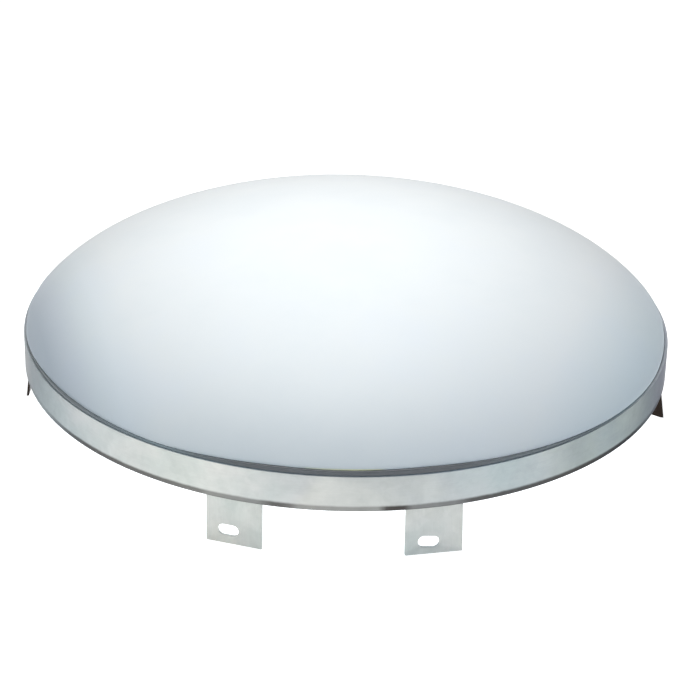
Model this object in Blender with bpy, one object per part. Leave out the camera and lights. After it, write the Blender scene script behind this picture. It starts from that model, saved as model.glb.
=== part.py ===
"""Radome for a two-foot dish: moulded dome, clamp hoop, rubber edging and six slotted tabs.

Metres, +Z up. The origin is on the dome's axis, at the level of the tabs' lower ends. The front is -Y.
Angles round the hoop are counted from the front towards +X.
"""
from math import asin, cos, degrees, pi, radians, sin, sqrt, tan

import bmesh
import bpy
from mathutils import Matrix, Vector

MM = 0.001
GAP = 0.4 * MM                    # clearance between pieces that touch
SEGMENTS = 72                     # facets round every hoop

# Driving sizes
HOOP_RADIUS = 305 * MM            # outside of the hoop
HOOP_HEIGHT = 34 * MM
TAB_DROP = 46.2 * MM              # how far the tabs hang below the hoop
SHEET = 1.2 * MM                  # hoop sheet
TAB_SHEET = 2.0 * MM
SHELL_WALL = 3.0 * MM

# Hoop
HOOP_BOTTOM = TAB_DROP
HOOP_TOP = HOOP_BOTTOM + HOOP_HEIGHT
LIP_BEND = 2.0 * MM               # outer bend radius of the top lip
LIP_REACH = 3.7 * MM              # from the hoop's outside to the lip's inner edge
CURL_BEND = 1.8 * MM              # outer bend radius of the bottom curl
JOINT_GAP = 1.0 * MM              # butt joint at the back

# Dome: a shallow half ellipse of revolution
DOME_HALF_WIDTH = 315 * MM
DOME_RISE = 124 * MM
DOME_CENTRE = HOOP_BOTTOM + 3.8 * MM
DOME_EDGE = HOOP_TOP + 4.6 * MM   # height of the dome's lower edge
NECK_RADIUS = HOOP_RADIUS - 5.4 * MM
FOOT_RADIUS = HOOP_RADIUS - 1.8 * MM
FOOT_TOP = HOOP_TOP - 4.8 * MM
FOOT_THICKNESS = 3.0 * MM
DOME_RINGS = 11

# Rubber edging: a bead above the lip, a web past its edge and a leg under it
BEAD_RADIUS = HOOP_RADIUS - 1.0 * MM
BEAD_EDGE = 1.4 * MM              # rounding of the bead's outer corner
LEG_RADIUS = HOOP_RADIUS - 2.7 * MM         # the leg stays inside the lip's bend

# Clamp ring: an angle, level leg under the shell's foot, upright leg behind the tabs
RING_SHEET = 1.5 * MM
RING_LEG_RADIUS = HOOP_RADIUS - 6.5 * MM
RING_EDGE_RADIUS = HOOP_RADIUS - 1.6 * MM
RING_TOP = FOOT_TOP - FOOT_THICKNESS - 0.3 * MM
RING_BOTTOM = HOOP_BOTTOM + 8 * MM

# Tabs
TAB_PLANE = HOOP_RADIUS - 4.0 * MM          # the outer face's distance from the axis
TAB_WIDTH = 50.8 * MM
TAB_TOP = RING_TOP - RING_SHEET - GAP
LAND_TOP = RING_BOTTOM - 5 * MM             # the tab's flat land for the dish ends here
SLOT_LENGTH = 19.0 * MM
SLOT_HEIGHT = 10.5 * MM
SLOT_LEVEL = 13.3 * MM
SLOT_OFFSET = -5.3 * MM                     # towards the left, seen from outside
RETURN_DEPTH = 14.0 * MM                    # folded return on the side tabs' left edge
RETURN_TOP = HOOP_BOTTOM + 3 * MM
RETURN_BITE = TAB_SHEET - 0.5 * MM          # how far the return starts behind the outer face
RETURN_SLOPE = radians(19)
TABS = {
    "front_left": -16.5,
    "front_right": 16.5,
    "side_left": -90.0,
    "side_right": 90.0,
    "rear_right": 163.5,
    "rear_left": 196.5,
}

# Blind rivets
RIVET_RADIUS = 2.4 * MM
RIVET_HOLE = 2.8 * MM
TAB_RIVET_SPREAD = 15 * MM
TAB_RIVET_LEVEL = RING_BOTTOM + 8 * MM
FLAT_HEAD = (4.5 * MM, 1.0 * MM)            # radius and height
DOMED_HEAD = (4.3 * MM, 1.4 * MM)
BLIND_HEAD = (3.8 * MM, 2.0 * MM)
RIVET_SIDES = 12

# Strap over the hoop's joint
STRAP_HALF_ANGLE = 5.5            # degrees
STRAP_BOTTOM = HOOP_BOTTOM + 3.2 * MM
STRAP_TOP = HOOP_TOP - 10 * MM
STRAP_RIVET_ANGLE = 3.3           # degrees
STRAP_RIVET_LEVELS = (STRAP_BOTTOM + 5.3 * MM, STRAP_TOP - 5.3 * MM)
STRAP_STEPS = 8

MATERIALS = {
    "white_plastic": ((0.86, 0.89, 0.92, 1), 0.2, 0.0),
    "black_rubber": ((0.05, 0.05, 0.055, 1), 0.6, 0.0),
    "zinc_sheet": ((0.62, 0.65, 0.63, 1), 0.35, 1.0),
    "tab_zinc": ((0.60, 0.63, 0.61, 1), 0.4, 1.0),
    "ring_zinc": ((0.50, 0.52, 0.53, 1), 0.45, 1.0),
    "rivet_steel": ((0.66, 0.67, 0.68, 1), 0.3, 1.0),
}


# ---------------------------------------------------------------- helpers

def clear_scene():
    for obj in list(bpy.data.objects):
        bpy.data.objects.remove(obj)


def make_material(name):
    colour, roughness, metallic = MATERIALS[name]
    material = bpy.data.materials.new(name)
    material.use_nodes = True
    shader = material.node_tree.nodes["Principled BSDF"]
    shader.inputs["Base Color"].default_value = colour
    shader.inputs["Roughness"].default_value = roughness
    shader.inputs["Metallic"].default_value = metallic
    return material


def add_object(name, bm, material, matrix=None):
    """Turn a bmesh into a named object with outward faces."""
    bmesh.ops.recalc_face_normals(bm, faces=bm.faces)
    mesh = bpy.data.meshes.new(name)
    bm.to_mesh(mesh)
    bm.free()
    mesh.shade_smooth()
    mesh.set_sharp_from_angle(angle=radians(35))
    mesh.materials.append(make_material(material))
    obj = bpy.data.objects.new(name, mesh)
    bpy.context.collection.objects.link(obj)
    if matrix is not None:
        obj.matrix_world = matrix
    return obj


def facing(angle, distance=0.0, level=0.0):
    """A frame on the hoop: X to the right seen from outside, Z up, Y inward."""
    turn = Matrix.Rotation(radians(angle), 4, "Z")
    return turn @ Matrix.Translation((0, -distance, level))


def ring_point(angle, radius, level):
    return facing(angle, radius, level).translation


def arc(centre_r, centre_z, radius, start, end, steps):
    """Points (r, z) on an arc between two angles in degrees, 0 being outward and 90 up."""
    points = []
    for i in range(steps + 1):
        a = radians(start + (end - start) * i / steps)
        points.append((centre_r + radius * cos(a), centre_z + radius * sin(a)))
    return points


def turned(profile, start=0.0, sweep=360.0, steps=SEGMENTS):
    """Turn a closed outline of (r, z) points about the axis, and cap it if it isn't a full turn."""
    closed = abs(sweep - 360) < 1e-9
    bm = bmesh.new()
    rows = []
    for i in range(steps if closed else steps + 1):
        angle = start + sweep * i / steps
        rows.append([bm.verts.new(ring_point(angle, r, z)) for r, z in profile])
    pairs = list(zip(rows, rows[1:]))
    if closed:
        pairs.append((rows[-1], rows[0]))
    count = len(profile)
    for row, following in pairs:
        for j in range(count):
            k = (j + 1) % count
            bm.faces.new((row[j], row[k], following[k], following[j]))
    if not closed:
        bm.faces.new(rows[0])
        bm.faces.new(reversed(rows[-1]))
    return bm


def spun(profile, sides=RIVET_SIDES):
    """Turn an open outline of (radius, y) points, whose ends lie on the Y axis, about that axis."""
    bm = bmesh.new()
    poles = [bm.verts.new((0, y, 0)) for y in (profile[0][1], profile[-1][1])]
    rows = []
    for i in range(sides):
        a = 2 * pi * i / sides
        rows.append([bm.verts.new((r * cos(a), y, r * sin(a))) for r, y in profile[1:-1]])
    for i, row in enumerate(rows):
        following = rows[(i + 1) % sides]
        bm.faces.new((poles[0], row[0], following[0]))
        bm.faces.new((poles[1], following[-1], row[-1]))
        for j in range(len(row) - 1):
            bm.faces.new((row[j], row[j + 1], following[j + 1], following[j]))
    return bm


def add_cutter(name, matrix, radius, depth):
    """A round cutter along Y, left out of the finished object."""
    bm = spun([(0, -depth / 2), (radius, -depth / 2), (radius, depth / 2), (0, depth / 2)])
    cutter = add_object(name, bm, "rivet_steel", matrix)
    cutter.hide_render = True
    cutter.display_type = "WIRE"
    return cutter


def cut(obj, cutter):
    modifier = obj.modifiers.new(cutter.name, "BOOLEAN")
    modifier.operation = "DIFFERENCE"
    modifier.solver = "EXACT"
    modifier.object = cutter


# ---------------------------------------------------------------- turned pieces

def dome_point(angle, inset=0.0):
    """A point (r, z) on the dome's ellipse, moved in along the normal by inset."""
    r = DOME_HALF_WIDTH * cos(angle)
    z = DOME_RISE * sin(angle)
    slope = Vector((cos(angle) / DOME_HALF_WIDTH, sin(angle) / DOME_RISE)).normalized()
    return r - inset * slope.x, DOME_CENTRE + z - inset * slope.y


def make_shell():
    """Dome, neck and foot flange: two nested skins closed at the foot."""
    edge_angle = asin((DOME_EDGE - DOME_CENTRE) / DOME_RISE)
    neck_inside = NECK_RADIUS - SHELL_WALL
    angles = [edge_angle + (pi / 2 - edge_angle) * i / DOME_RINGS for i in range(DOME_RINGS)]
    inner_angles = [a for a in angles if dome_point(a, SHELL_WALL)[0] < neck_inside - MM]
    foot_bottom = FOOT_TOP - FOOT_THICKNESS

    outline = [dome_point(a) for a in reversed(angles)]
    outline += [(NECK_RADIUS, DOME_EDGE), (NECK_RADIUS, FOOT_TOP)]
    outline += [(FOOT_RADIUS, FOOT_TOP), (FOOT_RADIUS, foot_bottom)]
    outline += [(neck_inside, foot_bottom), (neck_inside, DOME_EDGE - 2 * MM)]
    outline += [dome_point(a, SHELL_WALL) for a in inner_angles]

    bm = bmesh.new()
    rows = []
    for i in range(SEGMENTS):
        rows.append([bm.verts.new(ring_point(360 * i / SEGMENTS, r, z)) for r, z in outline])
    crown = bm.verts.new((0, 0, dome_point(pi / 2)[1]))
    ceiling = bm.verts.new((0, 0, dome_point(pi / 2, SHELL_WALL)[1]))
    for i, row in enumerate(rows):
        following = rows[(i + 1) % SEGMENTS]
        bm.faces.new((crown, row[0], following[0]))
        bm.faces.new((ceiling, following[-1], row[-1]))
        for j in range(len(outline) - 1):
            bm.faces.new((row[j], row[j + 1], following[j + 1], following[j]))
    return add_object("radome_shell", bm, "white_plastic")


def make_gasket():
    """C-shaped rubber edging that grips the lip's inner edge, its bead standing above the lip."""
    inside = NECK_RADIUS + GAP
    web = HOOP_RADIUS - LIP_REACH - GAP
    bead_top = DOME_EDGE - GAP
    bead_bottom = HOOP_TOP + 0.3 * MM
    leg_top = HOOP_TOP - SHEET - GAP
    leg_bottom = FOOT_TOP + 0.3 * MM
    outline = [(inside, leg_bottom), (LEG_RADIUS, leg_bottom), (LEG_RADIUS, leg_top), (web, leg_top)]
    outline += [(web, bead_bottom), (BEAD_RADIUS, bead_bottom)]
    outline += arc(BEAD_RADIUS - BEAD_EDGE, bead_top - BEAD_EDGE, BEAD_EDGE, 0, 90, 3)
    outline += [(inside, bead_top)]
    return add_object("edge_gasket", turned(outline), "black_rubber")


def make_band():
    """The hoop, rolled from one strip: curled in at the bottom, turned in at the top, open at the back."""
    curl_r = HOOP_RADIUS - CURL_BEND
    curl_z = HOOP_BOTTOM + CURL_BEND
    lip_r = HOOP_RADIUS - LIP_BEND
    lip_z = HOOP_TOP - LIP_BEND
    outline = arc(curl_r, curl_z, CURL_BEND, -90, 0, 3)
    outline += arc(lip_r, lip_z, LIP_BEND, 0, 90, 4)
    outline += [(HOOP_RADIUS - LIP_REACH, HOOP_TOP), (HOOP_RADIUS - LIP_REACH, HOOP_TOP - SHEET)]
    outline += arc(lip_r, lip_z, LIP_BEND - SHEET, 90, 0, 3)
    outline += arc(curl_r, curl_z, CURL_BEND - SHEET, 0, -90, 2)
    half_gap = degrees(JOINT_GAP / 2 / HOOP_RADIUS)
    bm = turned(outline, 180 + half_gap, 360 - 2 * half_gap)
    return add_object("rim_band", bm, "zinc_sheet")


def make_clamp_ring():
    inside = RING_LEG_RADIUS - RING_SHEET
    under = RING_TOP - RING_SHEET
    outline = [(inside, RING_BOTTOM), (RING_LEG_RADIUS, RING_BOTTOM), (RING_LEG_RADIUS, under)]
    outline += [(RING_EDGE_RADIUS, under), (RING_EDGE_RADIUS, RING_TOP), (inside, RING_TOP)]
    return add_object("clamp_ring", turned(outline), "ring_zinc")


# ---------------------------------------------------------------- tabs and rivets

def slot_outline():
    """The slot's outline (x, z), with half-round ends."""
    reach = (SLOT_LENGTH - SLOT_HEIGHT) / 2
    radius = SLOT_HEIGHT / 2
    right = arc(SLOT_OFFSET + reach, SLOT_LEVEL, radius, -90, 90, 8)
    left = arc(SLOT_OFFSET - reach, SLOT_LEVEL, radius, 90, 270, 8)
    return right + left


def plate_with_slot():
    """The tab's flat plate: the slotted land, the riveted part above it, and the same faces behind."""
    half = TAB_WIDTH / 2
    bm = bmesh.new()
    land = [bm.verts.new((x, 0, z)) for x, z in ((-half, 0), (half, 0), (half, LAND_TOP), (-half, LAND_TOP))]
    slot = [bm.verts.new((x, 0, z)) for x, z in slot_outline()]
    edges = [bm.edges.new((loop[i - 1], loop[i])) for loop in (land, slot) for i in range(len(loop))]
    bmesh.ops.triangle_fill(bm, use_beauty=True, edges=edges)
    top = [bm.verts.new((x, 0, TAB_TOP)) for x in (half, -half)]
    bm.faces.new((land[3], land[2], *top))
    grown = bmesh.ops.extrude_face_region(bm, geom=list(bm.faces))
    moved = [v for v in grown["geom"] if isinstance(v, bmesh.types.BMVert)]
    bmesh.ops.translate(bm, verts=moved, vec=(0, TAB_SHEET, 0))
    return bm


def edge_return():
    """The folded return on the plate's left edge, with a sloping lower edge; it bites into the plate."""
    bm = bmesh.new()
    half = TAB_WIDTH / 2
    rise = RETURN_DEPTH * tan(RETURN_SLOPE)
    outline = [(0, 0), (RETURN_DEPTH, rise), (RETURN_DEPTH, 0.6 * RETURN_TOP), (0, RETURN_TOP)]
    near = [bm.verts.new((-half, RETURN_BITE + y, z)) for y, z in outline]
    far = [bm.verts.new((v.co.x + TAB_SHEET, v.co.y, v.co.z)) for v in near]
    bm.faces.new(near)
    bm.faces.new(reversed(far))
    for i in range(4):
        bm.faces.new((near[i - 1], far[i - 1], far[i], near[i]))
    return bm


def make_rivet(name, matrix, near, far, near_head):
    """A blind rivet along Y: set head outside of near, blind head beyond far."""
    head_radius, head_height = near_head
    blind_radius, blind_height = BLIND_HEAD
    profile = [(0, near - head_height), (0.72 * head_radius, near - head_height)]
    profile += [(head_radius, near - 0.35 * head_height), (head_radius, near)]
    profile += [(RIVET_RADIUS, near), (RIVET_RADIUS, far), (blind_radius, far)]
    profile += [(blind_radius, far + 0.6 * blind_height), (0.7 * blind_radius, far + blind_height)]
    profile += [(0, far + blind_height)]
    return add_object(name, spun(profile), "rivet_steel", matrix)


def make_tab(label, angle, ring):
    """A tab, its two rivets and the rivets' holes in the tab and in the clamp ring."""
    bm = plate_with_slot()
    tab = add_object("tab_" + label, bm, "tab_zinc", facing(angle, TAB_PLANE))
    if label.startswith("side"):
        fold = add_object("fold_" + label, edge_return(), "tab_zinc", facing(angle, TAB_PLANE))
        fold.hide_render = True
        fold.display_type = "WIRE"
        join = tab.modifiers.new("fold", "BOOLEAN")
        join.operation = "UNION"
        join.solver = "EXACT"
        join.object = fold
    leg_far = TAB_PLANE - RING_LEG_RADIUS + RING_SHEET
    for side, x in (("a", -TAB_RIVET_SPREAD), ("b", TAB_RIVET_SPREAD)):
        place = facing(angle, TAB_PLANE, TAB_RIVET_LEVEL) @ Matrix.Translation((x, 0, 0))
        reach = TAB_RIVET_SPREAD + BLIND_HEAD[0]
        curve = RING_LEG_RADIUS - sqrt(RING_LEG_RADIUS ** 2 - reach ** 2)
        make_rivet(f"tab_rivet_{label}_{side}", place, -0.3 * MM, leg_far + curve + 0.6 * MM, FLAT_HEAD)
        hole = add_cutter(f"hole_{label}_{side}", place, RIVET_HOLE, 30 * MM)
        cut(tab, hole)
        cut(ring, hole)


# ---------------------------------------------------------------- joint at the back

def make_strap(band):
    """The strap over the butt joint, with four rivets through it and the hoop."""
    inner = HOOP_RADIUS + 0.3 * MM
    outer = inner + SHEET
    outline = [(inner, STRAP_BOTTOM), (outer, STRAP_BOTTOM), (outer, STRAP_TOP), (inner, STRAP_TOP)]
    bm = turned(outline, 180 - STRAP_HALF_ANGLE, 2 * STRAP_HALF_ANGLE, STRAP_STEPS)
    strap = add_object("band_joint_strap", bm, "zinc_sheet")
    for side, turn in (("left", STRAP_RIVET_ANGLE), ("right", -STRAP_RIVET_ANGLE)):
        for row, level in zip(("lower", "upper"), STRAP_RIVET_LEVELS):
            place = facing(180 + turn, outer, level)
            far = outer - HOOP_RADIUS + SHEET + 0.7 * MM
            make_rivet(f"strap_rivet_{side}_{row}", place, -0.3 * MM, far, DOMED_HEAD)
            hole = add_cutter(f"hole_{side}_{row}", place, RIVET_HOLE, 10 * MM)
            cut(strap, hole)
            cut(band, hole)


def main():
    clear_scene()
    make_shell()
    make_gasket()
    band = make_band()
    ring = make_clamp_ring()
    for label, angle in TABS.items():
        make_tab(label, angle, ring)
    make_strap(band)


main()
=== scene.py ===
"""Looks of the dish radome: finer meshes and procedural materials round the fixed CAD frame.

Metres, +Z up, the front is -Y. Angles round the hoop are counted from the front towards +X.
"""
from math import asin, cos, degrees, exp, hypot, pi, radians, sin, sqrt, tan

import bmesh
import bpy
from mathutils import Matrix, Quaternion, Vector


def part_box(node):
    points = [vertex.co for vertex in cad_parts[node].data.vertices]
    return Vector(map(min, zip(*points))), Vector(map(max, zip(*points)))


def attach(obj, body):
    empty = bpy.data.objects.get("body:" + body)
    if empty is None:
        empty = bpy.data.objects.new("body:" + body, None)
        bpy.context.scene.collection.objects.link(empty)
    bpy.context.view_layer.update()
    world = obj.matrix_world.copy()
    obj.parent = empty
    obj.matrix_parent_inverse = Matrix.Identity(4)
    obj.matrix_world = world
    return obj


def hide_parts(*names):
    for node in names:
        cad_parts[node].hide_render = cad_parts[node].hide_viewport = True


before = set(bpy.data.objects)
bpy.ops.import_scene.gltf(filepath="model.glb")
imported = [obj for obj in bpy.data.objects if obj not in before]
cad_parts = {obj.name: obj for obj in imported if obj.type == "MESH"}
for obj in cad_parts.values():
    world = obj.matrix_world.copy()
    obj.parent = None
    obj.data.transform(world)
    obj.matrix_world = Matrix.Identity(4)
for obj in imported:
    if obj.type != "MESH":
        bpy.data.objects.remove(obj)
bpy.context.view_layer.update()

MM = 0.001
SCENE = bpy.context.scene

# Places read from the frame
HOOP_LOW, HOOP_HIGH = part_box("rim_band")
SHELL_LOW, SHELL_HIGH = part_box("radome_shell")
RING_LOW, RING_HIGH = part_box("clamp_ring")
GASKET_LOW, GASKET_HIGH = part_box("edge_gasket")
TAB_LOW, TAB_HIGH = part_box("tab_side_right")
STRAP_LOW, STRAP_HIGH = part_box("band_joint_strap")

HOOP_RADIUS = HOOP_HIGH.x
HOOP_BOTTOM = HOOP_LOW.z
HOOP_TOP = HOOP_HIGH.z
FOOT_RADIUS = SHELL_HIGH.x
FOOT_BOTTOM = SHELL_LOW.z
DOME_TOP = SHELL_HIGH.z
TAB_TOP = TAB_HIGH.z
TAB_PLANE = TAB_HIGH.x
TAB_HALF = (TAB_HIGH.y - TAB_LOW.y) / 2

# Section sizes, as the CAD has them
SHEET = 1.2 * MM
TAB_SHEET = 2.0 * MM
RING_SHEET = 1.5 * MM
RING_FLANGE = 4.9 * MM     # how far the ring's flat flange reaches past its leg
SHELL_WALL = 3.0 * MM
GAP = 0.4 * MM
LIP_REACH = 3.7 * MM
CURL_BEND = 1.8 * MM
DOME_HALF_WIDTH = 315 * MM
DOME_RISE = 124 * MM
DOME_CENTRE = DOME_TOP - DOME_RISE
DOME_EDGE = GASKET_HIGH.z + GAP
NECK_RADIUS = HOOP_RADIUS - 5.4 * MM
LEG_RADIUS = HOOP_RADIUS - 2.7 * MM
FOOT_THICKNESS = 3.0 * MM
SLOT_LENGTH = 19.0 * MM
SLOT_HEIGHT = 10.5 * MM
SLOT_LEVEL = 13.3 * MM
SLOT_OFFSET = -5.3 * MM
RETURN_DEPTH = 14.0 * MM
RETURN_SLOPE = radians(19)
RETURN_TOP = HOOP_BOTTOM + 3 * MM
JOINT_HALF_GAP = 0.5 * MM
EDGE_ROUNDING = 0.7 * MM
CORNER_ROUNDING = 0.5 * MM
STRAP_ROUNDING = 0.3 * MM

# Where the looks depart from the CAD's section: a sharper lip and a slightly deeper hem
LIP_BEND = 1.2 * MM
LIP_CREASE = 0.4 * MM
HEM_DROP = 0.6 * MM

# Each tab's place, in degrees from the front
TABS = {
    "front_left": -16.5,
    "front_right": 16.5,
    "side_left": -90.0,
    "side_right": 90.0,
    "rear_right": 163.5,
    "rear_left": 196.5,
}

# The unevenness of the dome's lower edge: how much lower it sits, and how far inside the hoop it ends
EDGE_DROP = 0.7 * MM
EDGE_SAG_LEFT = 2.3 * MM
EDGE_SAG_RIGHT = 3.2 * MM
EDGE_CLEARANCE = 0.8 * MM     # the least height above the hoop
EDGE_INSET = 1.3 * MM
EDGE_TRIM_LEFT = 1.3 * MM
EDGE_TRIM_RIGHT = 2.7 * MM
EDGE_TRIM_REGAIN = 1.4 * MM     # what the right side's trim gives back towards the rear
# The edge's local dips, or rises below 0: angle from the front, spread in degrees, and depth in millimetres
EDGE_DIPS = ((-9, 6, -0.5), (14, 8, -0.8), (-31, 11, 2.2), (-47, 9, 0.6))

# The rubber bead: its step in from the hoop in front, how far it shows past the dome at the sides,
# and its clearance to the dome above and the lip below
BEAD_STEP = 0.6 * MM
BEAD_SHOW = 0.2 * MM
BEAD_TOP_GAP = 0.1 * MM
BEAD_BOTTOM_GAP = 0.05 * MM

# How far the side tabs are set in at the hoop's lower edge, and how far they flare out at the bottom
TAB_LEAN = {"side_left": (1.8 * MM, 3.6 * MM), "side_right": (2.3 * MM, 5.0 * MM)}
# They bend between two heights above their feet, and the sheet is cut at the levels so that it can
BEND_LOW = 49 * MM
BEND_HIGH = 58 * MM
BEND_LEVELS = [level * MM for level in range(46, 62)]
SIDE_TAB_FORWARD = 2.7 * MM     # how far in front of the centre line they sit
FRONT_TAB_FLARE = (1.6 * MM, 4.0 * MM)     # how far the front right tab's foot leans out, left and right
FRONT_SLOT_SHIFT = (0.7 * MM, -1.5 * MM, radians(-6))     # its slot's place and tilt against the others
TAB_CORNER = 0.8 * MM
TAB_SOFTENING = 0.22 * MM

# Blind rivets: where they sit, the sheets they grip, and their heads' radius and height
RIVET_LIFT = 0.3 * MM     # a head's underside stands this far off the sheet
TAB_RIVET_RISE = 8 * MM
TAB_RIVET_HALF_PITCH = 15 * MM
TAB_RIVET = {"grip": 5.5 * MM, "head_radius": 4.4 * MM, "head_height": 0.9 * MM}
STRAP_RIVET_INSET = 5.3 * MM
STRAP_RIVET_ANGLES = {"left": 183.3, "right": 176.7}
STRAP_RIVET = {"grip": 3.7 * MM, "head_radius": 4.2 * MM, "head_height": 1.3 * MM}

# Painted shade on the hoop's lower hem: its height, the softness of its edge, and how dark it is round the
# hoop.
# In this and in the other lists of stops below, the first number is the angle from the front.
HEM_SHADE_HEIGHT = 5.7 * MM
HEM_SHADE_SOFTNESS = 2.0 * MM
HEM_SHADE_DEPTHS = ((-180, 0.45), (-158, 0.8), (-122, 0.8), (-105, 0.2), (-62, 0.2), (-52, 0.72), (-45, 0.8),
              (-30, 0.78), (-22.5, 0.72), (-21, 0.62), (-12, 0.6), (-10.5, 0.82), (-7.5, 0.82),
              (-5.5, 0.5), (7, 0.5), (8.5, 0.92), (11.5, 0.92), (12.5, 0.62), (20.5, 0.65),
              (22.5, 0.85), (58, 0.85), (66, 0.5), (105, 0.3), (122, 0.8), (158, 0.8), (180, 0.45))
# A painted yellowish highlight on the front of the dome's lower edge: its strength round the part, up to a
# small height above the edge
EDGE_HIGHLIGHT_HEIGHT = 1.0 * MM
EDGE_HIGHLIGHT_STOPS = ((-5, 0.0), (-4, 0.6), (-1, 0.7), (3, 1.0), (7, 1.0), (8, 0.0))
# How far the rubber edging turns a lighter bluish grey round the hoop
RUBBER_LIGHTENING = ((-180, 0.1), (-75, 0.08), (-50, 0.15), (-38, 0.28), (-30, 0.5), (-22, 0.1), (-15, 0.0),
            (20, 0.0), (32, 0.16), (45, 0.2), (56, 0.55), (66, 0.6), (75, 0.1), (180, 0.1))
# The hoop's lip above a height over the hoop's lower edge: dull, with a painted reflection as its tone
# round the hoop
LIP_DULL = HOOP_TOP - HOOP_BOTTOM - 0.2 * MM
LIP_SOFTNESS = 1.0 * MM
LIP_PAINTED_REFLECTIONS = ((-90, (0.52, 0.56, 0.60)), (-50, (0.56, 0.60, 0.62)), (-32, (0.40, 0.43, 0.45)),
             (-15, (0.36, 0.38, 0.40)), (35, (0.36, 0.38, 0.40)), (55, (0.50, 0.53, 0.56)),
             (90, (0.54, 0.57, 0.62)))
# What the hoop's wall colour is multiplied by: painted reflections and shade round the hoop
HOOP_PAINTED_REFLECTIONS = ((-180, (0.84, 0.85, 0.85)), (-90, (0.92, 0.93, 0.94)), (-76, (1.0, 1.0, 1.0)),
              (-66, (0.80, 0.81, 0.84)), (-50, (0.82, 0.83, 0.86)), (-25, (1.0, 0.965, 0.94)),
              (0, (0.81, 0.81, 0.84)), (35, (0.695, 0.735, 0.775)), (44, (0.49, 0.54, 0.565)),
              (55, (0.60, 0.66, 0.69)), (66, (0.55, 0.59, 0.63)), (75, (0.51, 0.51, 0.59)),
              (90, (0.95, 0.97, 0.98)), (180, (0.84, 0.85, 0.85)))

# The stage
FLOOR_SIZE = 12
FLOOR_LEVEL = -0.5 * MM
FLOOR_GLOW = 0.95
WALL_LIGHT = 0.02
LAMP_AIM = (0, 0, 50 * MM)

# The camera, fitted to the hoop's outline in the photo: angles in degrees, the lens in millimetres
CAMERA_AIM = (0, 0, 47 * MM)
CAMERA_DISTANCE = 7.4618 * HOOP_RADIUS
CAMERA_ELEVATION = 26.434
CAMERA_AZIMUTH = 1.3
CAMERA_PAN = -0.105
CAMERA_LEAN = 1.377
CAMERA_LENS = 121.93
CAMERA_SENSOR = 36

# Fineness
HOOP_SEGMENTS = 288
STRAP_SEGMENTS = 48
DOME_RINGS = 56
WALL_STEPS = 10
RIVET_SIDES = 40
CORNER_STEPS = 4
BEVEL_STEPS = 2


# ---------------------------------------------------------------- node helpers

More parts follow.
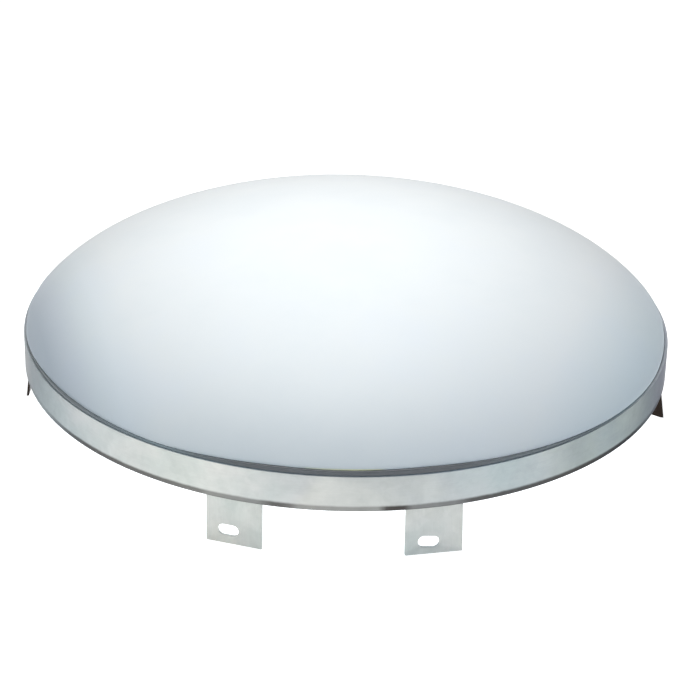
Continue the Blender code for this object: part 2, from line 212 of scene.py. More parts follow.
class Graph:
    """A small helper for building a material's nodes."""

    def __init__(self, name):
        self.material = bpy.data.materials.new(name)
        self.material.use_nodes = True
        self.tree = self.material.node_tree
        self.shader = self.tree.nodes["Principled BSDF"]

    def node(self, kind, **settings):
        made = self.tree.nodes.new(kind)
        for key, value in settings.items():
            setattr(made, key, value)
        return made

    def link(self, out, into):
        self.tree.links.new(out, into)

    def put(self, node, socket, value):
        """Link an output, or set a plain value."""
        if isinstance(value, bpy.types.NodeSocket):
            self.link(value, node.inputs[socket])
        else:
            node.inputs[socket].default_value = value

    def coords(self, kind="Object", scale=(1, 1, 1)):
        source = self.node("ShaderNodeTexCoord")
        mapping = self.node("ShaderNodeMapping")
        self.link(source.outputs[kind], mapping.inputs["Vector"])
        mapping.inputs["Scale"].default_value = scale
        return mapping.outputs["Vector"]

    def noise(self, vector, scale, detail, roughness, distortion=0.0):
        made = self.node("ShaderNodeTexNoise")
        self.put(made, "Vector", vector)
        self.put(made, "Scale", scale)
        self.put(made, "Detail", detail)
        self.put(made, "Roughness", roughness)
        self.put(made, "Distortion", distortion)
        return made.outputs["Fac"]

    def cells(self, vector, scale):
        """One even random value for each cell."""
        made = self.node("ShaderNodeTexVoronoi")
        self.put(made, "Vector", vector)
        self.put(made, "Scale", scale)
        split = self.node("ShaderNodeSeparateColor")
        self.link(made.outputs["Color"], split.inputs["Color"])
        return split.outputs["Red"]

    def split(self, vector):
        made = self.node("ShaderNodeSeparateXYZ")
        self.link(vector, made.inputs["Vector"])
        return made.outputs["X"], made.outputs["Y"], made.outputs["Z"]

    def round_part(self):
        """The angle round the part from its front, as 0 to 1 with the front at 0.5."""
        x, y, _ = self.split(self.coords())
        turn = self.math("ARCTAN2", x, self.math("MULTIPLY", y, -1.0))
        return self.math("ADD", self.math("DIVIDE", turn, 2 * pi), 0.5)

    def by_angle(self, stops):
        """Colours or plain values round the part: each stop is (degrees from the front, value)."""
        places = []
        for angle, value in stops:
            colour = value if isinstance(value, tuple) else (value, value, value)
            places.append((angle / 360 + 0.5, colour))
        return self.ramp(self.round_part(), *places)

    def math(self, operation, a, b=0.0):
        made = self.node("ShaderNodeMath", operation=operation)
        self.put(made, 0, a)
        self.put(made, 1, b)
        return made.outputs[0]

    def remap(self, value, low, high, to_low, to_high):
        made = self.node("ShaderNodeMapRange")
        self.put(made, "Value", value)
        self.put(made, "From Min", low)
        self.put(made, "From Max", high)
        self.put(made, "To Min", to_low)
        self.put(made, "To Max", to_high)
        return made.outputs["Result"]

    def ramp(self, value, *stops):
        """Colours along a value: each stop is (position, (r, g, b))."""
        made = self.node("ShaderNodeValToRGB")
        self.put(made, "Fac", value)
        elements = made.color_ramp.elements
        while len(elements) < len(stops):
            elements.new(0.5)
        for element, (position, colour) in zip(elements, stops):
            element.position = position
            element.color = (*colour, 1)
        return made.outputs["Color"]

    def mix(self, fac, a, b, blend="MIX"):
        made = self.node("ShaderNodeMix", data_type="RGBA", blend_type=blend)
        self.put(made, 0, fac)
        for socket, value in ((6, a), (7, b)):
            if isinstance(value, tuple):
                value = (*value, 1)
            self.put(made, socket, value)
        return made.outputs[2]

    def bump(self, height, distance, strength, normal=None):
        made = self.node("ShaderNodeBump")
        self.put(made, "Height", height)
        self.put(made, "Distance", distance)
        self.put(made, "Strength", strength)
        if normal is not None:
            self.link(normal, made.inputs["Normal"])
        return made.outputs["Normal"]

    def surface(self, **values):
        """Set the shader's inputs by their short names."""
        names = {"color": "Base Color", "rough": "Roughness", "metal": "Metallic", "normal": "Normal",
                 "specular": "Specular IOR Level", "tint": "Specular Tint"}
        for key, value in values.items():
            if isinstance(value, tuple):
                value = (*value, 1)
            self.put(self.shader, names[key], value)
        return self.material


# ---------------------------------------------------------------- materials

UNTINTED = (1.0, 1.0, 1.0)
DUST_GREY = (0.62, 0.63, 0.62)
# The colour of the painted highlight on the dome's lower edge
HIGHLIGHT_YELLOW = (0.92, 0.89, 0.55)
LIGHTER_BLUISH_RUBBER = (0.30, 0.41, 0.45)
# The colour of the painted shade on the hoop's lower hem
HEM_PAINTED_SHADE = (0.030, 0.024, 0.022)
# The near-black brown of the painted shade at the side tabs' edges
TAB_EDGE_PAINTED_SHADE = (0.032, 0.024, 0.020)


def shell_material():
    """Smooth white plastic with painted cold shade at its sides, a very fine peel and a little handling
    dust.
    """
    g = Graph("white_shell_plastic")
    place = g.coords()
    cloud = g.noise(place, 7, 4, 0.6)
    tint = g.ramp(cloud, (0.34, (0.755, 0.795, 0.820)), (0.5, (0.775, 0.810, 0.830)),
                  (0.66, (0.765, 0.805, 0.840)))
    dust = g.remap(g.noise(place, 260, 5, 0.7), 0.62, 0.82, 0.0, 0.12)
    colour = g.mix(dust, tint, DUST_GREY)
    # Painted shade, cold and darker towards both sides, reaching further in towards the front. 0 is the
    # hoop's left, 1 its right.
    x, y, z = g.split(place)
    sweep = g.math("MULTIPLY", y, 0.3)
    left = g.math("DIVIDE", g.math("ADD", x, sweep), 2 * HOOP_RADIUS)
    left = g.ramp(g.math("ADD", left, 0.5), (0.0, (0.65, 0.69, 0.75)), (0.027, (0.77, 0.80, 0.85)),
                  (0.057, (0.88, 0.91, 0.93)), (0.085, (0.95, 0.97, 0.985)), (0.13, UNTINTED))
    right = g.math("DIVIDE", g.math("SUBTRACT", x, sweep), 2 * HOOP_RADIUS)
    right = g.ramp(g.math("ADD", right, 0.5), (0.89, UNTINTED), (1.0, (0.88, 0.95, 0.98)))
    colour = g.mix(1.0, g.mix(1.0, colour, left, "MULTIPLY"), right, "MULTIPLY")
    # A thin painted yellowish highlight along the front of the dome's lower edge
    low = g.remap(z, DOME_EDGE, DOME_EDGE + EDGE_HIGHLIGHT_HEIGHT, 1.0, 0.0)
    edge_highlight = g.math("MULTIPLY", low, g.by_angle(EDGE_HIGHLIGHT_STOPS))
    colour = g.mix(edge_highlight, colour, HIGHLIGHT_YELLOW)
    rough = g.remap(g.noise(place, 30, 5, 0.6), 0.3, 0.7, 0.46, 0.54)
    peel = g.bump(g.noise(place, 520, 2, 0.5), 0.02 * MM, 0.12)
    return g.surface(color=colour, rough=rough, normal=peel, specular=0.2)


def rubber_material():
    """Extruded rubber: dark, matt, drawn out along its length, dusty and in places a lighter bluish grey.
    """
    g = Graph("black_rubber")
    along = g.coords("UV", (40, 900, 1))
    lines = g.noise(along, 1.0, 4, 0.6)
    dust = g.noise(g.coords(), 90, 5, 0.7)
    colour = g.ramp(g.math("ADD", g.math("MULTIPLY", lines, 0.5), g.math("MULTIPLY", dust, 0.5)),
                    (0.35, (0.082, 0.088, 0.096)), (0.65, (0.135, 0.143, 0.152)))
    colour = g.mix(g.by_angle(RUBBER_LIGHTENING), colour, LIGHTER_BLUISH_RUBBER)
    rough = g.remap(dust, 0.3, 0.7, 0.45, 0.7)
    return g.surface(color=colour, rough=rough, normal=g.bump(lines, 0.05 * MM, 0.5))


def zinc_colour(g, dark, light, along):
    """Bright zinc plate on rolled sheet: faint spangle, cloudy passivation and fine rolling lines.

    The lines' scale over the UVs is along. Gives the colour, the value that mottles it and the bumps.
    """
    place = g.coords()
    spangle = g.cells(g.coords("UV"), 210)
    cloud = g.noise(place, 22, 5, 0.65, 0.4)
    rolling = g.noise(g.coords("UV", along), 1.0, 5, 0.7)
    value = g.math("ADD", g.math("MULTIPLY", cloud, 0.66), g.math("MULTIPLY", rolling, 0.28))
    value = g.math("ADD", value, g.math("MULTIPLY", spangle, 0.06))
    colour = g.ramp(value, (0.34, dark), (0.66, light))
    hue = g.noise(place, 11, 3, 0.5)
    cast = g.ramp(hue, (0.36, (0.95, 1.0, 1.0)), (0.5, UNTINTED), (0.64, (1.0, 0.99, 0.95)))
    lines = g.bump(rolling, 0.04 * MM, 0.3)
    dents = g.bump(g.noise(place, 18, 2, 0.5), 0.5 * MM, 0.12, lines)
    return g.mix(1.0, colour, cast, "MULTIPLY"), value, dents


def zinc_material(name, dark, light, rough_low, rough_high, along, right=UNTINTED):
    """Plain zinc sheet, which may take a painted reflection that shifts its tone towards the right."""
    g = Graph(name)
    colour, value, dents = zinc_colour(g, dark, light, along)
    across = g.remap(g.split(g.coords())[0], -90 * MM, 90 * MM, 0.0, 1.0)
    # A painted reflection: the tone grows towards the right
    colour = g.mix(1.0, colour, g.ramp(across, (0.2, UNTINTED), (0.8, right)), "MULTIPLY")
    rough = g.remap(value, 0.34, 0.66, rough_high, rough_low)
    return g.surface(color=colour, rough=rough, metal=1.0, normal=dents)


def hoop_material():
    """Zinc with painted reflections, yellower left, bluer right, a dull lip and painted shade on its hem.
    """
    g = Graph("zinc_hoop")
    colour, value, dents = zinc_colour(g, (0.475, 0.493, 0.481), (0.565, 0.582, 0.564), (30, 1400, 1))
    # Painted reflections round the hoop, multiplied into the wall colour
    colour = g.mix(1.0, colour, g.by_angle(HOOP_PAINTED_REFLECTIONS), "MULTIPLY")
    level = g.split(g.coords())[2]
    ragged = g.noise(g.coords("UV", (90, 90, 1)), 1.0, 3, 0.6)
    ragged = g.remap(ragged, 0.3, 0.7, -0.25 * MM, 0.25 * MM)
    height = g.math("SUBTRACT", g.math("ADD", level, ragged), HOOP_BOTTOM)
    # Painted shade along the hoop's lower hem
    hem = g.remap(height, HEM_SHADE_HEIGHT - HEM_SHADE_SOFTNESS, HEM_SHADE_HEIGHT, 1.0, 0.0)
    hem = g.math("MULTIPLY", hem, g.by_angle(HEM_SHADE_DEPTHS))
    colour = g.mix(hem, colour, HEM_PAINTED_SHADE)
    # The lip turns dull and takes a painted reflection as its colour
    lip = g.remap(height, LIP_DULL - LIP_SOFTNESS, LIP_DULL, 0.0, 1.0)
    colour = g.mix(lip, colour, g.by_angle(LIP_PAINTED_REFLECTIONS))
    metal = g.remap(lip, 0.0, 1.0, 1.0, 0.1)
    rough = g.remap(value, 0.34, 0.66, 0.44, 0.32)
    return g.surface(color=colour, rough=rough, metal=metal, normal=dents, tint=(0.3, 0.31, 0.34))


def painted_shade_tab_material():
    """Side tabs' zinc as a darker copy in painted shade, near-black brown towards their bent and cut edges.
    """
    g = Graph("zinc_side_tab_painted_shade")
    colour, value, dents = zinc_colour(g, (0.20, 0.19, 0.18), (0.40, 0.39, 0.37), (1400, 60, 1))
    ragged = g.remap(g.noise(g.coords(), 160, 4, 0.6), 0.3, 0.7, -2 * MM, 2 * MM)
    across = g.math("ADD", g.math("ABSOLUTE", g.split(g.coords())[1]), ragged)
    edge_shade = g.remap(across, TAB_HALF - 9 * MM, TAB_HALF - 3 * MM, 0.0, 1.0)
    # Painted near-black brown shade towards the tab's edges
    colour = g.mix(edge_shade, colour, TAB_EDGE_PAINTED_SHADE)
    rough = g.remap(value, 0.34, 0.66, 0.6, 0.45)
    return g.surface(color=colour, rough=rough, metal=1.0, normal=dents)


MATERIALS = {}


def make_materials():
    MATERIALS["shell_plastic"] = shell_material()
    MATERIALS["rubber"] = rubber_material()
    MATERIALS["band_zinc"] = hoop_material()
    # The tabs at the right take a bluer, darker painted reflection
    MATERIALS["tab_zinc"] = zinc_material(
        "zinc_tab", dark=(0.43, 0.44, 0.42), light=(0.53, 0.535, 0.51), rough_low=0.38,
        rough_high=0.50, along=(1400, 60, 1), right=(0.95, 0.965, 0.99))
    MATERIALS["tab_painted_shade"] = painted_shade_tab_material()
    MATERIALS["ring_zinc"] = zinc_material(
        "zinc_ring", dark=(0.28, 0.30, 0.31), light=(0.46, 0.48, 0.48), rough_low=0.38,
        rough_high=0.56, along=(30, 1100, 1))
    MATERIALS["rivet_steel"] = zinc_material(
        "zinc_rivet", dark=(0.42, 0.43, 0.44), light=(0.62, 0.63, 0.64), rough_low=0.28,
        rough_high=0.45, along=(300, 300, 1))


# ---------------------------------------------------------------- mesh helpers

def facing(angle, distance, level=0.0):
    """A frame on the hoop: X to the right seen from outside, Z up, Y inward."""
    turn = Matrix.Rotation(radians(angle), 4, "Z")
    return turn @ Matrix.Translation((0, -distance, level))


def arc(centre_a, centre_b, radius, start, end, steps):
    """Points on an arc between two angles in degrees."""
    points = []
    for i in range(steps + 1):
        a = radians(start + (end - start) * i / steps)
        points.append((centre_a + radius * cos(a), centre_b + radius * sin(a)))
    return points


def smooth(low, high, value):
    """0 below low, 1 above high, eased between."""
    t = min(max((value - low) / (high - low), 0.0), 1.0)
    return t * t * (3 - 2 * t)


def hump(angle, centre, width):
    """1 at the centre, easing away over the width."""
    return exp(-((angle - centre) / width) ** 2)


def signed(angle):
    """The same angle between -180 and 180 degrees."""
    return (angle + 180) % 360 - 180


def lengths(points, closed):
    """Distance along a polyline at each of its points, and at its closing point."""
    total = [0.0]
    ring = points + points[:1] if closed else points
    for (a, b), (c, d) in zip(ring, ring[1:]):
        total.append(total[-1] + hypot(c - a, d - b))
    return total


def finish_piece(name, bm, slot, nodes, matrix=None, crease=40, look=None):
    """Make the object, ride it on the body and let it stand for its CAD nodes.

    Its look is its slot's material unless another is named. Edges past the crease angle stay sharp.
    """
    bmesh.ops.recalc_face_normals(bm, faces=bm.faces)
    mesh = bpy.data.meshes.new(name)
    bm.to_mesh(mesh)
    bm.free()
    if matrix is not None:
        mesh.transform(matrix)
    mesh.shade_smooth()
    mesh.set_sharp_from_angle(angle=radians(crease))
    mesh.materials.append(MATERIALS[look or slot])
    piece = bpy.data.objects.new(name, mesh)
    SCENE.collection.objects.link(piece)
    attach(piece, "root")
    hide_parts(*nodes)


def turned(profile, start=0.0, sweep=360.0, steps=HOOP_SEGMENTS, crown=False):
    """Turn an outline of (r, z) points about the axis, with UVs in metres.

    The outline is closed, or with crown it is open and both its ends lie on the axis. It may be a
    function that gives the outline at an angle, always with the same number of points.
    """
    full = abs(sweep - 360) < 1e-9
    outline_at = profile if callable(profile) else lambda angle: profile
    trim = slice(1, -1) if crown else slice(None)
    bm = bmesh.new()
    uv = bm.loops.layers.uv.new("UVMap")
    first = outline_at(start)
    poles = [bm.verts.new((0, 0, z)) for _, z in (first[0], first[-1])] if crown else []
    along = lengths(first, not crown)
    inner = first[trim]
    count = steps if full else steps + 1
    rows = []
    for i in range(count):
        angle = start + sweep * i / steps
        turn = Matrix.Rotation(radians(angle), 4, "Z")
        rows.append([bm.verts.new(turn @ Vector((0, -r, z))) for r, z in outline_at(angle)[trim]])
    stride = radians(sweep) / steps
    spans = len(inner) - 1 if crown else len(inner)
    shift = 1 if crown else 0

    def face(verts, places):
        made = bm.faces.new(verts)
        for loop, place in zip(made.loops, places):
            loop[uv].uv = place

    for i in range(steps):
        row = rows[i]
        following = rows[(i + 1) % count]
        u0 = i * stride * HOOP_RADIUS
        u1 = (i + 1) * stride * HOOP_RADIUS
        for j in range(spans):
            k = (j + 1) % len(inner)
            v0 = along[j + shift]
            v1 = along[j + shift + 1]
            face((row[j], row[k], following[k], following[j]), ((u0, v0), (u0, v1), (u1, v1), (u1, v0)))
        if crown:
            face((poles[0], row[0], following[0]), ((u0, 0), (u0, along[1]), (u1, along[1])))
            face((poles[1], following[-1], row[-1]), ((u0, along[-1]), (u1, along[-2]), (u0, along[-2])))
    if not full:
        for row in (rows[0], list(reversed(rows[-1]))):
            face(row, [(v.co.x, v.co.z) for v in row])
    return bm


def curve(corner, into, out, reach, steps):
    """Points on the curve that replaces a corner, from reach along one side to reach along the other."""
    start = corner + into.normalized() * reach
    end = corner + out.normalized() * reach
    points = []
    for s in range(steps + 1):
        t = s / steps
        point = (1 - t) ** 2 * start + 2 * t * (1 - t) * corner + t * t * end
        points.append((point.x, point.y))
    return points


def rounded_corner(before, corner, after, radius):
    """The rounding that replaces one corner of an open outline."""
    corner = Vector(corner)
    into = Vector(before) - corner
    out = Vector(after) - corner
    reach = min(radius, 0.45 * into.length, 0.45 * out.length)
    return curve(corner, into, out, reach, CORNER_STEPS)


def rounded(points, radius, steps):
    """Round the convex and concave corners of a closed outline, each by at most radius."""
    result = []
    for i, here in enumerate(points):
        before = Vector(points[i - 1])
        after = Vector(points[(i + 1) % len(points)])
        corner = Vector(here)
        into = before - corner
        out = after - corner
        angle = into.angle(out)
        reach = min(radius / tan(angle / 2), 0.45 * into.length, 0.45 * out.length)
        if reach < 1e-6 or angle > radians(175):
            result.append(tuple(here))
            continue
        result += curve(corner, into, out, reach, steps)
    return result


def plate(outline, holes):
    """A flat plate of tab sheet in the XZ plane, from y 0 inward, with softened edges and UVs in metres."""
    bm = bmesh.new()
    edges = []
    for loop in [outline] + holes:
        verts = [bm.verts.new((x, 0, z)) for x, z in loop]
        edges += [bm.edges.new((verts[i - 1], verts[i])) for i in range(len(verts))]
    filled = bmesh.ops.triangle_fill(bm, use_beauty=True, edges=edges)
    faces = [part for part in filled["geom"] if isinstance(part, bmesh.types.BMFace)]
    grown = bmesh.ops.extrude_face_region(bm, geom=faces)
    moved = [part for part in grown["geom"] if isinstance(part, bmesh.types.BMVert)]
    bmesh.ops.translate(bm, verts=moved, vec=(0, TAB_SHEET, 0))
    bmesh.ops.recalc_face_normals(bm, faces=bm.faces)
    rims = [edge for edge in bm.edges if edge.is_manifold and edge.calc_face_angle() > radians(60)
            and abs(edge.verts[0].co.y - edge.verts[1].co.y) < 1e-7]
    bmesh.ops.bevel(bm, geom=rims, offset=TAB_SOFTENING, segments=BEVEL_STEPS, profile=0.5,
                    affect="EDGES", clamp_overlap=True)
    plane_uv(bm)
    return bm


def plane_uv(bm):
    """UVs in metres: X and Z on flat faces, depth added so that edges don't smear."""
    uv = bm.loops.layers.uv.verify()
    for face in bm.faces:
        for loop in face.loops:
            co = loop.vert.co
            loop[uv].uv = (co.x + co.y, co.z)


def spun(profile):
    """Turn an open outline of (radius, y) points, whose ends lie on the Y axis, about that axis."""
    bm = bmesh.new()
    poles = [bm.verts.new((0, y, 0)) for y in (profile[0][1], profile[-1][1])]
    rows = []
    for i in range(RIVET_SIDES):
        a = 2 * pi * i / RIVET_SIDES
        rows.append([bm.verts.new((r * cos(a), y, r * sin(a))) for r, y in profile[1:-1]])
    for i, row in enumerate(rows):
        following = rows[(i + 1) % RIVET_SIDES]
        bm.faces.new((poles[0], row[0], following[0]))
        bm.faces.new((poles[1], following[-1], row[-1]))
        for j in range(len(row) - 1):
            bm.faces.new((row[j], row[j + 1], following[j + 1], following[j]))
    plane_uv(bm)
    return bm


# ---------------------------------------------------------------- turned pieces

def dome_point(angle, inset=0.0):
    """A point (r, z) on the dome's ellipse, moved in along the normal by inset."""
    slope = Vector((cos(angle) / DOME_HALF_WIDTH, sin(angle) / DOME_RISE)).normalized()
    r = DOME_HALF_WIDTH * cos(angle) - inset * slope.x
    z = DOME_CENTRE + DOME_RISE * sin(angle) - inset * slope.y
    return r, z


def edge_height(angle):
    """Height of the dome's lower edge. The moulding isn't level: it sits lower at the sides.

    The ranges here and in edge_limit and bead_radius are degrees from the front.
    """
    turn = signed(angle)
    right = smooth(16, 60, turn) - smooth(110, 160, turn)
    left = smooth(60, 82, -turn) - smooth(110, 160, -turn)
    drop = EDGE_DROP + EDGE_SAG_RIGHT * right + EDGE_SAG_LEFT * left
    for centre, spread, depth in EDGE_DIPS:
        drop += depth * MM * hump(turn, centre, spread)
    return max(DOME_EDGE - drop, HOOP_TOP + EDGE_CLEARANCE)


def edge_limit(angle):
    """The widest that the dome is trimmed to, a little narrower at the sides and the back."""
    turn = signed(angle)
    trim = EDGE_TRIM_RIGHT * smooth(62, 88, turn) - EDGE_TRIM_REGAIN * smooth(100, 150, turn)
    trim += EDGE_TRIM_LEFT * smooth(70, 90, -turn)
    return HOOP_RADIUS - EDGE_INSET - trim


def eased_least(a, b, ease=2 * MM):
    """The smaller of two lengths, blended where they meet."""
    near = max(ease - abs(a - b), 0) / ease
    return min(a, b) - near * near * ease / 4


def edge_radius(angle):
    """How wide the dome is at its lower edge."""
    rise = (edge_height(angle) - DOME_CENTRE) / DOME_RISE
    return eased_least(DOME_HALF_WIDTH * sqrt(1 - rise * rise), edge_limit(angle))


def shell_profile(angle):
    """Dome, rounded lower edge, neck and foot flange, from the crown to the ceiling."""
    edge = edge_height(angle)
    limit = edge_limit(angle)
    last = asin((edge - DOME_CENTRE) / DOME_RISE)
    outside = [dome_point(pi / 2 + (last - pi / 2) * i / DOME_RINGS) for i in range(DOME_RINGS + 1)]
    outside = [(eased_least(r, limit), z) for r, z in outside]
    neck_inside = NECK_RADIUS - SHELL_WALL
    foot_top = FOOT_BOTTOM + FOOT_THICKNESS
    under = [(NECK_RADIUS, edge), (NECK_RADIUS, foot_top), (FOOT_RADIUS, foot_top),
             (FOOT_RADIUS, FOOT_BOTTOM), (neck_inside, FOOT_BOTTOM), (neck_inside, DOME_EDGE - 2 * MM)]
    profile = outside[:-1] + rounded_corner(outside[-2], outside[-1], under[0], EDGE_ROUNDING)
    chain = [profile[-1]] + under
    for before, corner, after in zip(chain, chain[1:], chain[2:]):
        profile += rounded_corner(before, corner, after, CORNER_ROUNDING)
    profile.append(under[-1])
    first = asin((DOME_EDGE - DOME_CENTRE) / DOME_RISE)
    for i in range(DOME_RINGS + 1):
        r, z = dome_point(first + (pi / 2 - first) * i / DOME_RINGS, SHELL_WALL)
        if r < neck_inside - MM:
            profile.append((r, z))
    return profile


def make_shell():
    finish_piece("shell_dome", turned(shell_profile, crown=True), "shell_plastic", ["radome_shell"],
                 crease=50)


def bead_radius(angle):
    """The bead is nearly flush with the hoop in front and drawn in at the sides and the back."""
    turn = signed(angle)
    drawn_in = max(smooth(52, 70, turn), smooth(50, 72, -turn))
    full = HOOP_RADIUS - BEAD_STEP
    return full + (edge_radius(angle) + BEAD_SHOW - full) * drawn_in


def gasket_profile(angle):
    """A bead on the lip, a web past the lip's edge and a leg under it."""
    inside = NECK_RADIUS + GAP
    web = HOOP_RADIUS - LIP_REACH - GAP
    bead = bead_radius(angle)
    top = edge_height(angle) - BEAD_TOP_GAP
    bottom = HOOP_TOP + BEAD_BOTTOM_GAP
    leg_top = HOOP_TOP - SHEET - GAP
    outline = [(inside, GASKET_LOW.z), (LEG_RADIUS, GASKET_LOW.z), (LEG_RADIUS, leg_top), (web, leg_top),
               (web, bottom), (bead, bottom), (bead, top), (inside, top)]
    return rounded(outline, CORNER_ROUNDING, 5)


def make_gasket():
    finish_piece("rubber_edging", turned(gasket_profile), "rubber", ["edge_gasket"], crease=60)


def make_band():
    """The hoop: up its outside from the curl to the lip, then back down its inside, split at the back."""
    curl_r = HOOP_RADIUS - CURL_BEND
    curl_z = HOOP_BOTTOM - HEM_DROP + CURL_BEND
    lip_r = HOOP_RADIUS - LIP_BEND
    lip_z = HOOP_TOP - LIP_BEND
    inner_r = HOOP_RADIUS - SHEET - LIP_CREASE
    inner_z = HOOP_TOP - SHEET - LIP_CREASE
    outline = arc(curl_r, curl_z, CURL_BEND, -90, 0, 10)
    for i in range(1, WALL_STEPS):
        outline.append((HOOP_RADIUS, curl_z + (lip_z - curl_z) * i / WALL_STEPS))
    outline += arc(lip_r, lip_z, LIP_BEND, 0, 90, 8)
    outline += arc(HOOP_RADIUS - LIP_REACH, HOOP_TOP - SHEET / 2, SHEET / 2, 90, 270, 6)
    outline += arc(inner_r, inner_z, LIP_CREASE, 90, 0, 4)
    for i in range(1, WALL_STEPS):
        outline.append((HOOP_RADIUS - SHEET, inner_z + (curl_z - inner_z) * i / WALL_STEPS))
    outline += arc(curl_r, curl_z, CURL_BEND - SHEET, 0, -90, 6)
    half_gap = degrees(JOINT_HALF_GAP / HOOP_RADIUS)
    bm = turned(outline, 180 + half_gap, 360 - 2 * half_gap)
    finish_piece("hoop", bm, "band_zinc", ["rim_band"])


def make_ring():
    """The angle ring under the shell's foot."""
    leg = RING_HIGH.x - RING_FLANGE
    inside = leg - RING_SHEET
    under = RING_HIGH.z - RING_SHEET
    outline = [(inside, RING_LOW.z), (leg, RING_LOW.z), (leg, under), (RING_HIGH.x, under),
               (RING_HIGH.x, RING_HIGH.z), (inside, RING_HIGH.z)]
    finish_piece("inner_ring", turned(rounded(outline, CORNER_ROUNDING, 3)), "ring_zinc", ["clamp_ring"])


def make_strap():
    """The strap over the hoop's joint, its corners and edges softened."""
    outer = STRAP_HIGH.y
    inner = outer - SHEET
    corners = [(inner, STRAP_LOW.z), (outer, STRAP_LOW.z), (outer, STRAP_HIGH.z), (inner, STRAP_HIGH.z)]
    half = degrees(asin(STRAP_HIGH.x / outer))
    bm = turned(rounded(corners, STRAP_ROUNDING, 3), 180 - half, 2 * half, STRAP_SEGMENTS)
    finish_piece("joint_strap", bm, "band_zinc", ["band_joint_strap"])


# ---------------------------------------------------------------- tabs and rivets

def slot_outline(label):
    """A round-ended slot; the front right tab's is punched a little lower and less level."""
    across, up, tilt = FRONT_SLOT_SHIFT if label == "front_right" else (0.0, 0.0, 0.0)
    reach = (SLOT_LENGTH - SLOT_HEIGHT) / 2
    points = arc(reach, 0.0, SLOT_HEIGHT / 2, -90, 90, 20)
    points += arc(-reach, 0.0, SLOT_HEIGHT / 2, 90, 270, 20)
    outline = []
    for x, y in points:
        outline.append((SLOT_OFFSET + across + x * cos(tilt) - y * sin(tilt),
                        SLOT_LEVEL + up + x * sin(tilt) + y * cos(tilt)))
    return outline


def cut(bm, level):
    """Cut the sheet at a level, so that a bend can follow it."""
    bmesh.ops.bisect_plane(bm, geom=list(bm.verts) + list(bm.edges) + list(bm.faces),
                           plane_co=(0, 0, level), plane_no=(0, 0, 1), dist=1e-7)


def flare_tab(bm):
    """Lean the front right tab outward from the hoop down, its right edge more than its left."""
    left, right = FRONT_TAB_FLARE
    cut(bm, HOOP_BOTTOM)
    for vert in bm.verts:
        across = 0.5 + 0.5 * vert.co.x / TAB_HALF
        vert.co.y -= (left + (right - left) * across) * max(1 - vert.co.z / HOOP_BOTTOM, 0.0)


def bend_tab(bm, label):
    """Bend a side tab: set in just below the inner ring, then leaning outward to its lower end."""
    inset, flare = TAB_LEAN[label]
    for level in BEND_LEVELS:
        cut(bm, level)
    for vert in bm.verts:
        level = vert.co.z
        blend = 1 - smooth(BEND_LOW, BEND_HIGH, level)
        line = -inset + (inset + flare) * (1 - level / HOOP_BOTTOM)
        vert.co.y -= blend * line


def tab_place(label, angle):
    """Where a tab stands: behind the hoop, the side tabs a little towards the front."""
    forward = SIDE_TAB_FORWARD if label in TAB_LEAN else 0.0
    return Matrix.Translation((0, -forward, 0)) @ facing(angle, TAB_PLANE)


def make_tab(label, angle):
    """One slotted tab; the side tabs have a folded return on their left edge."""
    corners = [(-TAB_HALF, 0), (TAB_HALF, 0), (TAB_HALF, TAB_TOP), (-TAB_HALF, TAB_TOP)]
    bm = plate(rounded(corners, TAB_CORNER, 3), [slot_outline(label)])
    look = None
    if label == "front_right":
        flare_tab(bm)
    if label in TAB_LEAN:
        bend_tab(bm, label)
        # The side tabs take the darker copy of the zinc in painted shade
        look = "tab_painted_shade"
    finish_piece("slotted_tab_" + label, bm, "tab_zinc", ["tab_" + label], tab_place(label, angle),
                 crease=30, look=look)
    if label in TAB_LEAN:
        make_return(label, angle)


def make_return(label, angle):
    """The return: the sheet turns 90 degrees inward along the plate's left edge."""
    rise = RETURN_DEPTH * tan(RETURN_SLOPE)
    deep = TAB_SHEET + RETURN_DEPTH
    corners = [(TAB_SHEET, 0), (deep, rise), (deep, 0.6 * RETURN_TOP), (TAB_SHEET, RETURN_TOP)]
    bm = plate(rounded(corners, TAB_CORNER, 3), [])
    swap_sides = Matrix(((0, 1, 0, 0), (1, 0, 0, 0), (0, 0, 1, 0), (0, 0, 0, 1)))
    to_edge = Matrix.Translation((-TAB_HALF, 0, 0))
    bmesh.ops.transform(bm, matrix=to_edge @ swap_sides, verts=bm.verts)
    bend_tab(bm, label)
    # The return takes the zinc in painted shade too
    finish_piece("tab_return_" + label, bm, "tab_zinc", ["tab_" + label], tab_place(label, angle),
                 crease=30, look="tab_painted_shade")


def rivet_profile(grip, head_radius, head_height):
    """A set blind rivet from head to tail, with the broken mandrel sunk in the head."""
    bore = 1.35 * MM
    mouth = 1.15 * bore
    shank = 2.4 * MM
    tail = 3.8 * MM
    crown = 1.08 * head_height
    rim = 0.35 * head_height
    sunk = 0.2 * head_height
    profile = [(0, -rim), (0.7 * bore, -rim), (0.75 * bore, -sunk), (bore, -sunk), (bore, -head_height),
               (mouth, -crown)]
    steps = 8
    for i in range(1, steps + 1):
        t = i / steps * pi / 2
        profile.append((mouth + (head_radius - mouth) * sin(t), -rim - (crown - rim) * cos(t)))
    profile += [(head_radius, -0.1 * head_height), (0.96 * head_radius, 0), (shank, 0), (shank, grip)]
    profile += [(0.96 * tail, grip), (tail, grip + 0.15 * MM), (tail, grip + 0.9 * MM)]
    profile += [(0.93 * tail, grip + 1.3 * MM), (0.75 * tail, grip + 1.7 * MM)]
    profile += [(1.5 * MM, grip + 1.9 * MM), (1.4 * MM, grip + 1.6 * MM), (0.6 * MM, grip + 1.75 * MM)]
    profile.append((0, grip + 1.8 * MM))
    return profile


def make_rivet(node, place, kind):
    finish_piece("set_" + node, spun(rivet_profile(**kind)), "rivet_steel", [node], place, crease=45)


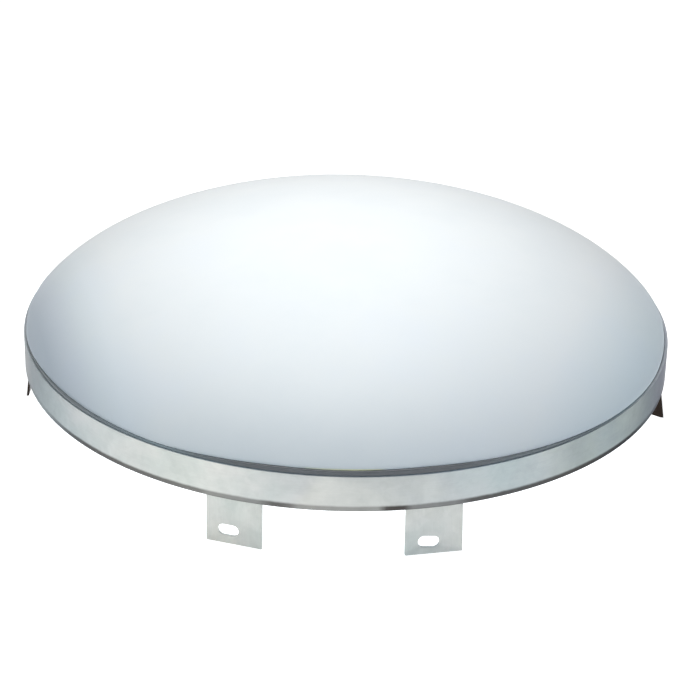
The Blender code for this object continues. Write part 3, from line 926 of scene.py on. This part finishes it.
def make_tab_rivets(label, angle):
    """Two flat-headed rivets through the tab and the inner ring's leg."""
    middle = facing(angle, TAB_PLANE + RIVET_LIFT, RING_LOW.z + TAB_RIVET_RISE)
    for side, x in (("a", -TAB_RIVET_HALF_PITCH), ("b", TAB_RIVET_HALF_PITCH)):
        make_rivet(f"tab_rivet_{label}_{side}", middle @ Matrix.Translation((x, 0, 0)), TAB_RIVET)


def make_strap_rivets():
    """Four domed rivets through the strap and the hoop."""
    levels = {"lower": STRAP_LOW.z + STRAP_RIVET_INSET, "upper": STRAP_HIGH.z - STRAP_RIVET_INSET}
    for side, angle in STRAP_RIVET_ANGLES.items():
        for row, level in levels.items():
            place = facing(angle, STRAP_HIGH.y + RIVET_LIFT, level)
            make_rivet(f"strap_rivet_{side}_{row}", place, STRAP_RIVET)


# ---------------------------------------------------------------- stage

def make_floor():
    """A plain pale floor, glowing softly so that it stays white round the part."""
    bm = bmesh.new()
    bmesh.ops.create_grid(bm, x_segments=1, y_segments=1, size=FLOOR_SIZE)
    mesh = bpy.data.meshes.new("floor")
    bm.to_mesh(mesh)
    bm.free()
    floor = bpy.data.objects.new("floor", mesh)
    SCENE.collection.objects.link(floor)
    floor.location = (0, 0, FLOOR_LEVEL)
    g = Graph("pale_floor")
    g.surface(color=(0.8, 0.8, 0.8), rough=0.9, specular=0.0)
    g.shader.inputs["Emission Color"].default_value = (1, 1, 1, 1)
    g.shader.inputs["Emission Strength"].default_value = FLOOR_GLOW
    mesh.materials.append(g.material)


def add_softbox(name, location, width, height, power, colour):
    """A rectangular lamp aimed at the part, which the camera doesn't see."""
    data = bpy.data.lights.new(name, "AREA")
    data.shape = "RECTANGLE"
    data.size = width
    data.size_y = height
    data.energy = power
    data.color = colour
    light = bpy.data.objects.new(name, data)
    SCENE.collection.objects.link(light)
    light.location = location
    aim = Vector(LAMP_AIM) - Vector(location)
    light.rotation_mode = "QUATERNION"
    light.rotation_quaternion = aim.to_track_quat("-Z", "Y")
    light.visible_camera = False


def make_world():
    """The studio's walls: white to the camera beyond the floor, but giving the part hardly any light."""
    world = bpy.data.worlds.new("studio")
    SCENE.world = world
    world.use_nodes = True
    tree = world.node_tree
    background = tree.nodes["Background"]
    background.inputs["Color"].default_value = (1, 1, 1, 1)
    ray = tree.nodes.new("ShaderNodeLightPath")
    strength = tree.nodes.new("ShaderNodeMath")
    strength.operation = "MAXIMUM"
    strength.inputs[1].default_value = WALL_LIGHT
    tree.links.new(ray.outputs["Is Camera Ray"], strength.inputs[0])
    tree.links.new(strength.outputs["Value"], background.inputs["Strength"])


def make_lights():
    """A square lamp overhead and two weak bluish ones in front."""
    add_softbox("overhead", (-0.04, 0.04, 0.95), width=0.65, height=0.65, power=9.5,
                colour=(1.0, 0.985, 0.965))
    add_softbox("right_fill", (1.2, -1.6, 1.1), width=1.2, height=1.0, power=4.7,
                colour=(0.40, 0.70, 1.0))
    add_softbox("left_fill", (-1.2, -1.6, 1.1), width=1.2, height=1.0, power=4.4,
                colour=(0.50, 0.83, 1.0))


def make_camera():
    """The camera stands 26 degrees above the part, a touch right of its front, and leans a little."""
    elevation = radians(CAMERA_ELEVATION)
    azimuth = radians(CAMERA_AZIMUTH)
    back = Vector((sin(azimuth) * cos(elevation), -cos(azimuth) * cos(elevation), sin(elevation)))
    data = bpy.data.cameras.new("camera")
    data.lens = CAMERA_LENS
    data.sensor_width = CAMERA_SENSOR
    data.clip_end = 60
    camera = bpy.data.objects.new("camera", data)
    SCENE.collection.objects.link(camera)
    camera.location = Vector(CAMERA_AIM) + back * CAMERA_DISTANCE
    camera.rotation_mode = "QUATERNION"
    level = (-back).to_track_quat("-Z", "Y")
    pan = Quaternion((0, 1, 0), radians(CAMERA_PAN))
    lean = Quaternion((0, 0, 1), radians(CAMERA_LEAN))
    camera.rotation_quaternion = level @ pan @ lean
    SCENE.camera = camera
    SCENE.view_settings.view_transform = "Standard"


# ---------------------------------------------------------------- all together

make_camera()
make_world()
make_lights()
make_floor()
make_materials()
make_shell()
make_gasket()
make_band()
make_ring()
for label, angle in TABS.items():
    make_tab(label, angle)
    make_tab_rivets(label, angle)
make_strap()
make_strap_rivets()
